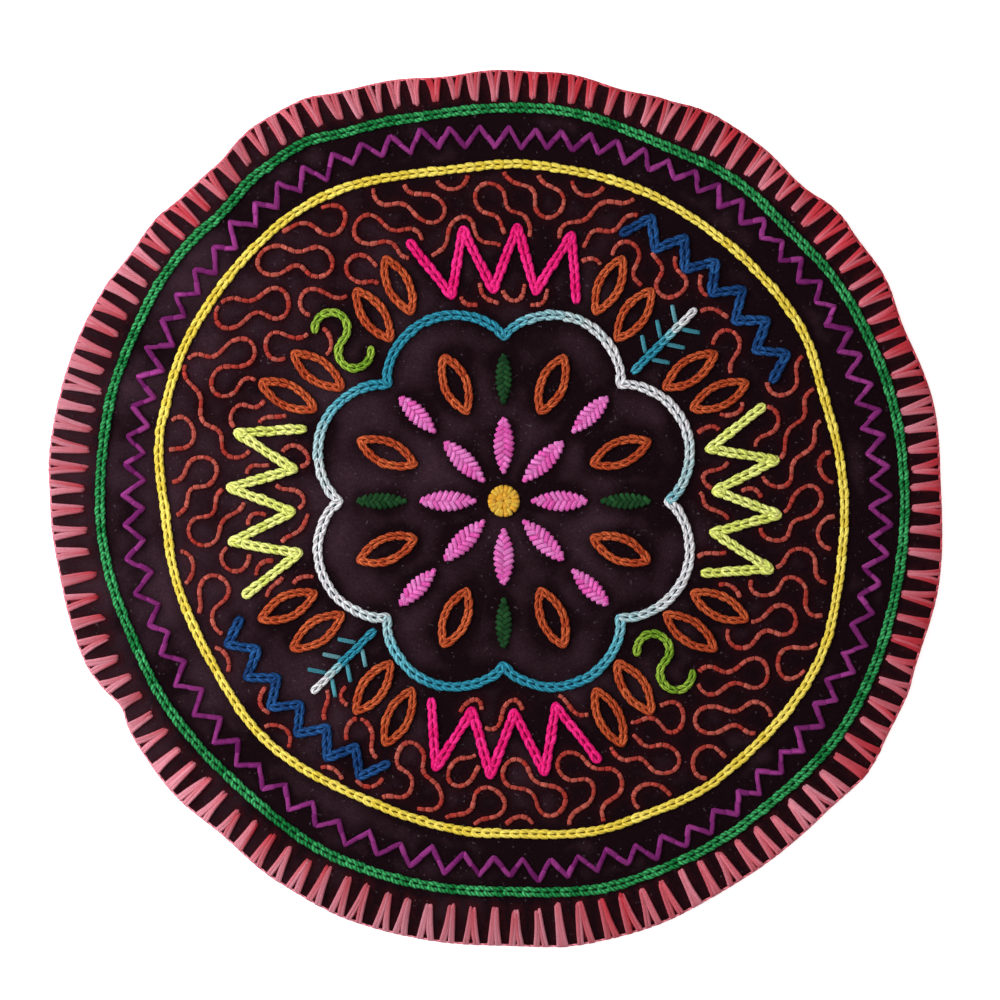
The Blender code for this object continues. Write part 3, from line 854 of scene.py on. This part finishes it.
draw = random.Random(22)
path = []
widths = []
for step in range(PURL_STEPS):
    angle = FULL_TURN * step / PURL_STEPS
    x, y = around(angle, float(rim_radius(angle)) - PURL_WIDTH / 2)
    path.append((x, y, float(top_at(x, y)) - CLOTH_THICKNESS / 2))
    widths.append(PURL_WIDTH * (0.92 + 0.16 * draw.random()))
mesh = yarn_mesh("edging_purl", path, widths, [PURL_HEIGHT] * PURL_STEPS, sides=8, closed=True)
corner_angles = [math.degrees(math.atan2(corner.co.y, corner.co.x)) for corner in mesh.vertices]
# The purl is lighter on the side that faces the light and darker on the other: painted light and shade.
mark(mesh, "tone", np.array([MEAN_DYE + PURL_SIDE_LIGHT * lit_side(angle) for angle in corner_angles]))
finished("edging_purl", mesh, YARNS["salmon_cord"], edging_nodes)

# %% [markdown]
# ## The rings
# The green ring is chain stitch in a tightly twisted yarn, so it looks plaited. The yellow ring is a little
# narrower and its yarn is softer, so its loops close to small slits. Both are closed lines of a whole number
# of loops.

# %% Sew the two chain rings
RING_STEP = 0.5  # degrees between the points of a ring's line
RING_PITCH = 3.0 * MM


def ring_line(middle):
    return SewnLine([around(a, float(middle(a))) for a in np.arange(0, FULL_TURN, RING_STEP)], closed=True)


green_loop = chain_loop("green_loop", RING_PITCH, 3.25 * MM, 1.36 * MM, 0.95 * MM)
yellow_loop = chain_loop("yellow_loop", RING_PITCH, 3.05 * MM, 1.36 * MM, 1.0 * MM)
stitches = chain_along(ring_line(green_middle), green_loop, RING_PITCH, random.Random(31))
sew("ring_green", stitches, "green", ["ring_green_chain"], seed=4)
stitches = chain_along(ring_line(yellow_middle), yellow_loop, RING_PITCH, random.Random(32))
sew("ring_yellow", stitches, "yellow", ["ring_yellow_chain"], seed=5)

# %% [markdown]
# The purple zigzag is stem stitch: each stroke is a few short stitches that overlap, now on one side of the
# line and now on the other. A stroke starts anew at each hole, so the points stay where they are.

# %% Sew the zigzag ring
STROKE_STITCHES = 2
OVERLAP = 0.14  # how far a stitch reaches past its part of the stroke at both ends
ASIDE = 0.16 * MM
HOLE_STRAY = 0.5 * MM

strand = straight_stitch("stem_strand", 1.7 * MM, 1.15 * MM)
draw = random.Random(33)
stitches = []
holes = [around(angle, radius) for angle, radius in zigzag_points]
for hole in holes:
    hole += (draw.uniform(-HOLE_STRAY, HOLE_STRAY), draw.uniform(-HOLE_STRAY, HOLE_STRAY))
for hole, following in zip(holes, holes[1:] + holes[:1]):
    part = (following - hole) / STROKE_STITCHES
    across = leftward(part)
    for number in range(STROKE_STITCHES):
        first = hole + part * (number - OVERLAP) + across * draw.uniform(-ASIDE, ASIDE)
        last = hole + part * (number + 1 + OVERLAP) + across * draw.uniform(-ASIDE, ASIDE)
        lower = draw.uniform(0, 0.12) * MM
        lay = between(first, last, draw.uniform(0.82, 1.12), lower, draw.uniform(-0.2, 0.2) * MM)
        stitches.append((strand, lay, draw.uniform(LOWEST_TONE, 1)))
sew("ring_purple", stitches, "purple", ["ring_purple_zigzag"], seed=6)

# %% [markdown]
# ## The flower in the middle field
# The field inside the yellow ring holds a flower in eighths: satin petals round a gold heart, leaves, a lobed
# outline, sprigs, zigzags and two scrolls. Its measures are the CAD model's own. Filled shapes are sewn in
# fishbone: slanted stitches from one side and the other that meet and cross along the middle.

# %% The measures of the field
FIELD = np.array((2.8 * MM, 2.2 * MM))
SHAPES = (
    # name, count, first_angle_deg, radius_mm, length_mm, width_mm
    ("petal", 8, 0, 17.5, 19.0, 7.2),
    ("petal_outer", 4, 45, 38.5, 17.0, 6.6),
    ("leaf_green", 4, 0, 38.5, 17.0, 5.8),
    ("leaf_inner", 8, 22.5, 40.0, 21.0, 10.0),
    ("leaf_left", 4, 55, 72.0, 21.0, 9.6),
    ("leaf_right", 4, 35, 72.0, 21.0, 9.6),
    ("leaf_left_outer", 4, 64, 76.0, 21.0, 9.6),
    ("leaf_right_outer", 4, 26, 76.0, 21.0, 9.6),
)
CHAIN_WIDTH = 2.9 * MM


def in_field(angle, radius):
    return FIELD + around(angle, radius)


def side_of(share):
    """Half width of a pointed oval at a share of its length, as a share of its widest."""
    return max(0.0, math.sin(math.pi * share)) ** 0.8


print("shapes in the field:", sum(row[1] for row in SHAPES))

# %% Sew the filled shapes
FISHBONE_STEP = 1.75 * MM
SLANT = 1.15  # how far a strand leans along the shape, in steps
satin = straight_stitch("satin_strand", 1.7 * MM, 1.25 * MM, rise=1.25)


def fishbone(centre, heading_deg, length, width, draw):
    """Slanted stitches from both sides of a shape, and one along each of its ends."""
    along = around(heading_deg, 1)
    across = leftward(along)
    count = max(3, round(length / FISHBONE_STEP))
    made = []
    for number in range(count):
        for side in (-1, 1):
            share = (number + 0.35 + 0.22 * side) / count
            half = width / 2 * side_of(share)
            outer = centre + along * length * (share - 0.5) + across * side * half
            lean = min(SLANT * length / count, length * (0.97 - share))
            inner = centre + along * (length * (share - 0.5) + lean) - across * side * 0.35 * MM
            lower = draw.uniform(0, 0.12) * MM
            lay = between(outer, inner, draw.uniform(0.9, 1.05), lower)
            made.append((satin, lay, draw.uniform(LOWEST_TONE, 1)))
    for end in (-1, 1):
        outer = centre + along * end * length * 0.5
        inner = centre + along * end * length * 0.30
        made.append((satin, between(outer, inner, 0.8, 0.2 * MM), draw.uniform(LOWEST_TONE, 1)))
    return made


def shape_places(wanted):
    for name, count, first_angle, radius, length, width in SHAPES:
        if name == wanted:
            for number in range(count):
                spoke = first_angle + FULL_TURN / count * number
                yield f"{name}_{number + 1}", in_field(spoke, radius * MM), spoke, length * MM, width * MM


draw = random.Random(41)
FILLED = (
    # shape, yarn
    ("petal", "pink"),
    ("petal_outer", "pink"),
    ("leaf_green", "leaf_green"),
)
for wanted, colour in FILLED:
    stitches = []
    nodes = []
    for node, centre, spoke, length, width in shape_places(wanted):
        stitches += fishbone(centre, spoke, length - 1.0 * MM, width - 0.8 * MM, draw)
        nodes.append(node)
    sew(wanted + "_satin", stitches, colour, nodes, seed=7)

HEART_ROUNDS = (
    # stitches, inner_mm, outer_mm
    (9, 0.1, 2.9),
    (18, 2.3, 5.1),
)
stitches = []
for count, inner, outer in HEART_ROUNDS:
    for number in range(count):
        spoke = FULL_TURN * (number + draw.uniform(-0.12, 0.12)) / count
        lay = between(in_field(spoke, inner * MM), in_field(spoke, outer * MM), draw.uniform(0.85, 1.05))
        stitches.append((satin, lay, draw.uniform(LOWEST_TONE, 1)))
sew("flower_heart_satin", stitches, "gold", ["flower_heart"], seed=8)

# %% [markdown]
# Outlined leaves are two runs of chain stitch that share the leaf's two points.

# %% Sew the outlined leaves
LEAF_PITCH = 2.9 * MM
OUTLINE_STEPS = 16
leaf_loop = chain_loop("leaf_loop", LEAF_PITCH, 2.75 * MM, 1.25 * MM, 0.95 * MM)


def leaf_runs(centre, heading_deg, length, width):
    along = around(heading_deg, 1)
    across = leftward(along)
    for side in (-1, 1):
        run = []
        for step in range(OUTLINE_STEPS + 1):
            share = step / OUTLINE_STEPS
            out = across * side * width / 2 * side_of(share)
            run.append(centre + along * length * (share - 0.5) + out)
        yield SewnLine(run if side < 0 else run[::-1])


draw = random.Random(42)
leaf_axes = []
for wanted in ("leaf_inner", "leaf_left", "leaf_right", "leaf_left_outer", "leaf_right_outer"):
    stitches = []
    nodes = []
    for node, centre, spoke, length, width in shape_places(wanted):
        leaf_axes += [(*(centre + around(spoke, length * share)), 0) for share in (-0.25, 0, 0.25)]
        for line in leaf_runs(centre, spoke, length - 2.4 * MM, width - CHAIN_WIDTH):
            stitches += chain_along(line, leaf_loop, LEAF_PITCH, draw)
        nodes.append(node)
    sew(wanted + "_outlines", stitches, "rust", nodes, seed=9)

# %% [markdown]
# The lobed outline and the stems are worked in a yarn that fades from turquoise to almost white and back, so
# each loop takes its tone from how far along the yarn it is.

# %% Sew the lobed outline and the stems
FOLD = 8
STEP = FULL_TURN / FOLD
LOBE_CUSP = 52 * MM
LOBE_CREST = 62 * MM
LOBE_POINTS = 18
STEM_ANGLES = (45, 225)
STEM_FIRST = 58 * MM
STEM_LAST = 85 * MM
TWIG_SHARES = (0.25, 0.5, 0.75)
TWIG_LEAN = 62  # degrees from the stem
TWIG_IN = 1.3 * MM
TWIG_LENGTH = 7.2 * MM
BOLD_PITCH = 3.0 * MM
FADED_ON = 0.29  # how far the yarn's colour has come round after one lobe

bold_loop = chain_loop("bold_loop", BOLD_PITCH, 3.3 * MM, 1.45 * MM, 1.0 * MM)
draw = random.Random(43)


def fading(first, last):
    def tone(share):
        wave = 0.5 + 0.62 * math.sin(2 * math.pi * (first + (last - first) * share))
        return min(1.0, max(0.12, wave + draw.uniform(-0.08, 0.08)))

    return tone


stitches = []
for lobe in range(FOLD):
    run = []
    for point in range(LOBE_POINTS + 1):
        angle = STEP * (lobe + point / LOBE_POINTS)
        swell = abs(math.sin(math.radians(FOLD / 2 * angle))) ** 0.75
        run.append(in_field(angle, LOBE_CUSP + (LOBE_CREST - LOBE_CUSP) * swell))
    tone = fading(lobe * FADED_ON, (lobe + 1) * FADED_ON)
    stitches += chain_along(SewnLine(run), bold_loop, BOLD_PITCH, draw, tone)
sew("rosette_chain", stitches, "turquoise", ["rosette_outline"], seed=10)

stitches = []
twig = straight_stitch("twig", 1.35 * MM, 0.95 * MM)
for spoke in STEM_ANGLES:
    line = SewnLine([in_field(spoke, STEM_FIRST), in_field(spoke, STEM_LAST)])
    stitches += chain_along(line, leaf_loop, LEAF_PITCH, draw, fading(0.6, 1.3))
    for share in TWIG_SHARES:
        foot = line.place(line.length * share)
        for side in (-1, 1):
            first = foot + around(spoke + 90 * side, TWIG_IN)
            lay = between(first, foot + around(spoke + TWIG_LEAN * side, TWIG_LENGTH))
            stitches.append((twig, lay, draw.uniform(0.25, 0.5)))
sew("stems_and_twigs", stitches, "turquoise", ["stem_1", "stem_2"], seed=11)

# %% [markdown]
# Each stroke of a zigzag is a run of its own, fastened at the corner, so the corners stay sharp. The scrolls
# are two half turns that join in an S.

# %% Sew the zigzags and the scrolls
BANDS = (
    # name, middle_angle_deg, span_deg, strokes, inner_mm, outer_mm, yarn
    ("zigzag_neon_1", 0, 40, 7, 67, 87, "neon"),
    ("zigzag_pink_1", 90, 40, 7, 67, 87, "hot_pink"),
    ("zigzag_neon_2", 180, 40, 7, 67, 87, "neon"),
    ("zigzag_pink_2", 270, 40, 7, 67, 87, "hot_pink"),
    ("zigzag_blue_1", 45, 42, 12, 93, 101, "blue"),
    ("zigzag_blue_2", 225, 42, 12, 91, 98.5, "blue"),
)
draw = random.Random(44)
for name, middle, span, strokes, inner, outer, colour in BANDS:
    corners = []
    for number in range(strokes + 1):
        reach_out = outer if number % 2 else inner
        corners.append(in_field(middle + span * (number / strokes - 0.5), reach_out * MM))
    stitches = []
    for start, end in zip(corners, corners[1:]):
        stitches += chain_along(SewnLine([start, end]), bold_loop, BOLD_PITCH, draw)
    sew(name + "_chain", stitches, colour, [name], seed=12)

SCROLL_ANGLES = (135, 315)
SCROLL_RADIUS = 72 * MM
SCROLL_HALF = 5.2 * MM
SCROLL_TURN = 235
SCROLL_STEPS = 24
for number, spoke in enumerate(SCROLL_ANGLES):
    along = around(spoke, 1)
    across = leftward(along)
    centre = in_field(spoke, SCROLL_RADIUS)
    run = []
    for side in (1, -1):
        half = []
        for step in range(SCROLL_STEPS + 1):
            turned = math.radians(-90 - SCROLL_TURN * step / SCROLL_STEPS)
            out = along * SCROLL_HALF * (1 + math.sin(turned)) * side
            half.append(centre + out + across * SCROLL_HALF * math.cos(turned) * side)
        run = half[::-1] if side == 1 else run + half[1:]
    stitches = chain_along(SewnLine(run), leaf_loop, LEAF_PITCH, draw)
    sew(f"scroll_{number + 1}_chain", stitches, "lime", [f"scroll_{number + 1}"], seed=13)

# %% [markdown]
# The ground left over between the flower and the yellow ring is filled with a red back stitch that wanders in
# round loops. Drawn freehand it would need a long table. Tiles give the same look: each tile holds two
# quarter circles round two of its corners. Turned like a chessboard they would make whole circles; a few are
# turned the other way by chance, and one wherever a circle would close, so the circles join to lobes and
# necks. The line stops where it meets a motif, and runs of a stitch or two are left out.

# %% Sew the wandering red line
TILE = 9.3 * MM
TILE_ROWS = 6
TILE_FIRST = 58.5 * MM
TILE_COLUMNS = 62
FLIPPED = 0.14  # share of tiles turned against the pattern
ARC_STITCHES = 3
MOTIF_CLEAR = 1.3 * MM
RING_CLEAR = 1.1 * MM
STRAY = 0.6 * MM  # how far a hand strays from the tiles
SHORTEST_RUN = 4  # stitches
RUN_PAST = 0.03  # how far a stitch reaches past its hole, as a share of its length

draw = random.Random(58)
turned_tiles = {}
for row in range(TILE_ROWS):
    for column in range(TILE_COLUMNS):
        turn = ((row + column) % 2 == 0) != (draw.random() < FLIPPED)
        before = (column - 1) % TILE_COLUMNS
        round_corner = ((row - 1, before), (row - 1, column), (row, before))
        if [turned_tiles.get(tile) for tile in round_corner] == [True, False, False]:
            turn = False
        turned_tiles[(row, column)] = turn


def strayed(angle, radius):
    """A place in the field, moved a little as an unguided hand would."""
    swing = math.sin(math.radians(angle * 17)) + math.sin(math.radians(angle * 31) + radius / 5 / MM)
    radius += STRAY * swing / 2
    angle += math.degrees(STRAY / radius * math.sin(radius / 3.1 / MM + math.radians(angle * 7)))
    return in_field(angle, radius)


def seen_from_above(places):
    """The places in a tree that finds the nearest to a spot, whatever their heights."""
    tree = KDTree(len(places))
    for number, place in enumerate(places):
        tree.insert((place[0], place[1], 0), number)
    tree.balance()
    return tree


motifs = seen_from_above(np.concatenate([*sewn_places.values(), leaf_axes]))


def is_free(spot):
    angle = math.degrees(math.atan2(spot[1], spot[0]))
    inside = math.hypot(*spot) < float(yellow_middle(angle % FULL_TURN)) - RING_CLEAR
    outside = math.hypot(*(spot - FIELD)) > LOBE_CREST
    return inside and outside and motifs.find((spot[0], spot[1], 0))[2] > MOTIF_CLEAR


def kept_part(first, last):
    """The part of a stitch from its free end up to the motif that it meets."""
    if is_free(first) and is_free(last):
        return [(first, last)]
    if is_free(last):
        first, last = last, first
    for share in (0.75, 0.5):
        short = first + (last - first) * share
        if is_free(first) and is_free(short):
            return [(first, short)]
    return []


pieces = []
for (row, column), turn in turned_tiles.items():
    for corner in ((0, 0), (1, 1)) if turn else ((0, 1), (1, 0)):
        spots = []
        for step in range(ARC_STITCHES + 1):
            quarter = math.pi / 2 * step / ARC_STITCHES
            out = abs(corner[0] - math.cos(quarter) / 2)
            on = abs(corner[1] - math.sin(quarter) / 2)
            spots.append(strayed(FULL_TURN * (column + on) / TILE_COLUMNS, TILE_FIRST + TILE * (row + out)))
        for first, last in zip(spots, spots[1:]):
            pieces += kept_part(first, last)



def hole_at(spot):
    return tuple(np.round(spot / MM, 1))


holes = {}
for number, pair in enumerate(pieces):
    for spot in pair:
        holes.setdefault(hole_at(spot), []).append(number)
run_of = {}
for number in range(len(pieces)):
    run = [number] if number not in run_of else []
    for member in run:
        run_of[member] = run
        for spot in pieces[member]:
            run += [other for other in holes[hole_at(spot)] if other not in run]

back_stitch = straight_stitch("back_stitch", 1.42 * MM, 1.0 * MM)
draw = random.Random(51)
stitches = []
for number, (first, last) in enumerate(pieces):
    if len(run_of[number]) >= SHORTEST_RUN:
        past = (last - first) * RUN_PAST
        lay = between(first - past, last + past, draw.uniform(0.85, 1.12))
        stitches.append((back_stitch, lay, draw.uniform(0.35, 1.0)))
print("runs of the red line:", len({id(run) for run in run_of.values() if len(run) >= SHORTEST_RUN}))
sew("red_meander", stitches, "red", [], seed=14)

# %% [markdown]
# ## The cloth between the stitches
# Now that every stitch has its place, the cloth is told how near each of its corners lies to yarn, for its
# finish: that paints shade along the yarn, and a red reflection beside the pink and red yarn. It also swells
# a little wherever the stitches leave it free, as worked cloth does.

# %% Finish the cloth round the stitches
NEAR_REACH = 3.0 * MM
PINK_REACH = 1.4 * MM
RED_REACH = 1.5 * MM
RED_SHARE = 0.45
SWELL_REACH = 5.0 * MM
SWELL = 0.45 * MM


def distances(places):
    """How far each corner of the cloth lies from the nearest of these places."""
    tree = seen_from_above(places)
    return np.array([tree.find((spot[0], spot[1], 0))[2] for spot in cloth_spots])


def nearness(apart, reach):
    return np.exp(-((apart / reach) ** 2))


apart = distances(np.concatenate(list(sewn_places.values())))
pink = nearness(distances(sewn_places["edging_legs"]), PINK_REACH)
red = nearness(distances(sewn_places["red_meander"]), RED_REACH) * RED_SHARE
# Painted shade along all yarn, and a painted red reflection beside the pink and red yarn.
mark(cloth.data, "shade_near_yarn", nearness(apart, NEAR_REACH))
mark(cloth.data, "red_reflection_near", np.maximum(pink, red))
uneven = 0.6 + 0.4 * np.sin(cloth_spots[:, 0] / (11 * MM)) * np.sin(cloth_spots[:, 1] / (13 * MM) + 1)
cloth_spots[:, 2] += SWELL * uneven * (1 - nearness(apart, SWELL_REACH))
cloth.data.vertices.foreach_set("co", cloth_spots.ravel())
cloth.data.update()
print("cloth corners near yarn:", int((apart < NEAR_REACH).sum()), "of", len(apart))

# %% [markdown]
# ## Floor, light and camera
# The floor is plain and almost white. A wide soft light stands to the left, and an even pale surround fills
# the shadows. The camera looks straight down from a metre above.

# %% Floor
form = bmesh.new()
bmesh.ops.create_grid(form, x_segments=1, y_segments=1, size=3)
bmesh.ops.translate(form, verts=form.verts, vec=(0, 0, -0.05 * MM))
mesh = mesh_from(form, "floor")
floor = in_scene("floor", mesh)
paper = Finish("white_paper")
cloudy = paper.noise(paper.node("ShaderNodeTexCoord", out=3), 3.0)
paper.feed("Base Color", paper.mix((0.93, 0.93, 0.93, 1), (0.96, 0.96, 0.96, 1), cloudy))
paper.fixed(Roughness=0.9, Specular_IOR_Level=0.1, Emission_Color=(1, 1, 1, 1), Emission_Strength=0.6)
mesh.materials.append(paper.material)
floor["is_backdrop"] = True

# %% Light
world = bpy.data.worlds.new("studio")
world.use_nodes = True
surround = world.node_tree.nodes["Background"].inputs
surround["Color"].default_value = (1.0, 0.985, 0.97, 1)
surround["Strength"].default_value = 0.56
bpy.context.scene.world = world
lamp = bpy.data.lights.new("window_left", "AREA")
lamp.shape = "RECTANGLE"
lamp.size = 0.7
lamp.size_y = 0.7
lamp.energy = 9.5
window = in_scene("window_left", lamp)
window.location = (-0.62, 0.16, 0.55)
window.rotation_euler = (math.radians(-14), math.radians(-48), 0)
print("light:", lamp.energy, "W from the left")

# %% Camera
CAMERA_HEIGHT = 1.0
PICTURE_WIDTH = 316.6 * MM
PICTURE_CENTRE = (1.58 * MM, 2.53 * MM)
SENSOR = 36  # mm, as the lens is

camera_data = bpy.data.cameras.new("camera")
camera_data.sensor_width = SENSOR
camera_data.lens = SENSOR * (CAMERA_HEIGHT - CLOTH_TOP) / PICTURE_WIDTH
camera = in_scene("camera", camera_data)
camera.location = (*PICTURE_CENTRE, CAMERA_HEIGHT)
bpy.context.scene.camera = camera
bpy.context.scene.view_settings.view_transform = "Standard"
print("lens:", round(camera_data.lens, 1), "mm")

# %% [markdown] Done

print("the mat is dressed")
